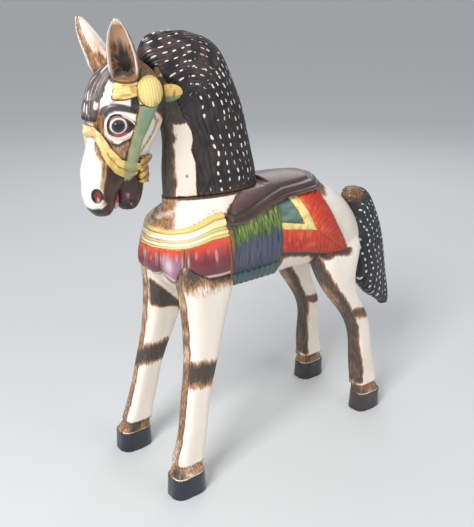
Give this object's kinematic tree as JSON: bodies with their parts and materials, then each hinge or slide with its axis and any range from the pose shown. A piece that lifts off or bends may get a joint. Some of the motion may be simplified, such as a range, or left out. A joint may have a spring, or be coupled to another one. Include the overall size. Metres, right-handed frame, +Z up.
{
  "type": "carved wooden horse figurine",
  "caption": "Standing carved wooden horse, painted, with saddle, blanket, bridle and a lift-off head that turns on a dowel.",
  "frame": {"origin": "on the ground, below the middle of the bounding box", "axes": "+Z up, the horse faces -Y, +X is its left side"},
  "size_m": [0.13, 0.4067, 0.448],
  "materials": {
    "cream_paint": "satin cream paint, streaked with brown stain",
    "mane_paint": "brown-black satin paint with white dabs",
    "tail_paint": "blue-black satin paint with white dabs",
    "forelock_paint": "grey-brown paint with white strokes",
    "hoof_paint": "blue-black satin paint",
    "saddle_paint": "purple-brown satin paint",
    "panel_paint": "teal green satin paint",
    "border_paint": "pale yellow satin paint",
    "skirt_paint": "orange-red satin paint",
    "girth_paint": "olive green to slate blue satin paint",
    "band_paint": "yellow and white satin paint",
    "fringe_paint": "red to purple-pink satin paint",
    "bridle_paint": "ochre yellow satin paint",
    "strap_paint": "sage green satin paint",
    "eye_paint": "gloss painted eye",
    "tongue_paint": "pink satin paint",
    "bare_wood": "plain turned softwood"
  },
  "bodies": {
    "horse_body": {"blanket_border": "border_paint", "blanket_panel": "panel_paint", "blanket_skirt": "skirt_paint", "breast_band": "band_paint", "breast_fringe": "fringe_paint", "fore_hoof_left": "hoof_paint", "fore_hoof_right": "hoof_paint", "foreleg_dowel_left": "bare_wood", "foreleg_dowel_right": "bare_wood", "foreleg_left": "cream_paint", "foreleg_right": "cream_paint", "girth_cloth_left": "girth_paint", "girth_cloth_right": "girth_paint", "hind_hoof_left": "hoof_paint", "hind_hoof_right": "hoof_paint", "hindleg_dowel_left": "bare_wood", "hindleg_dowel_right": "bare_wood", "hindleg_left": "cream_paint", "hindleg_right": "cream_paint", "saddle": "saddle_paint", "tail": "tail_paint", "tail_peg": "bare_wood", "torso": "cream_paint"},
    "loose_dowel": {"neck_dowel": "bare_wood"},
    "head_group": {"neck_and_head": "cream_paint", "mane": "mane_paint", "forelock": "forelock_paint", "tongue": "tongue_paint", "nose_band": "bridle_paint", "chin_strap": "bridle_paint", "ear_left": "cream_paint", "ear_right": "cream_paint", "ear_peg_left": "bare_wood", "ear_peg_right": "bare_wood", "eye_left": "eye_paint", "eye_right": "eye_paint", "rosette_left": "bridle_paint", "rosette_right": "bridle_paint", "strap_boss_left": "bridle_paint", "strap_boss_right": "bridle_paint", "cheek_strap_left": "strap_paint", "cheek_strap_right": "strap_paint", "brow_band_left": "bridle_paint", "brow_band_right": "bridle_paint"}
  },
  "joints": [
    {"name": "neck_lift", "type": "slide", "parent": "horse_body", "child": "loose_dowel", "axis": [0, 0, 1], "range_m": [0, 0.06]},
    {"name": "neck_turn", "type": "hinge", "parent": "loose_dowel", "child": "head_group", "pos_m": [0, -0.0717, 0.288], "axis": [0, 0, 1], "range_deg": [-90, 90]}
  ]
}
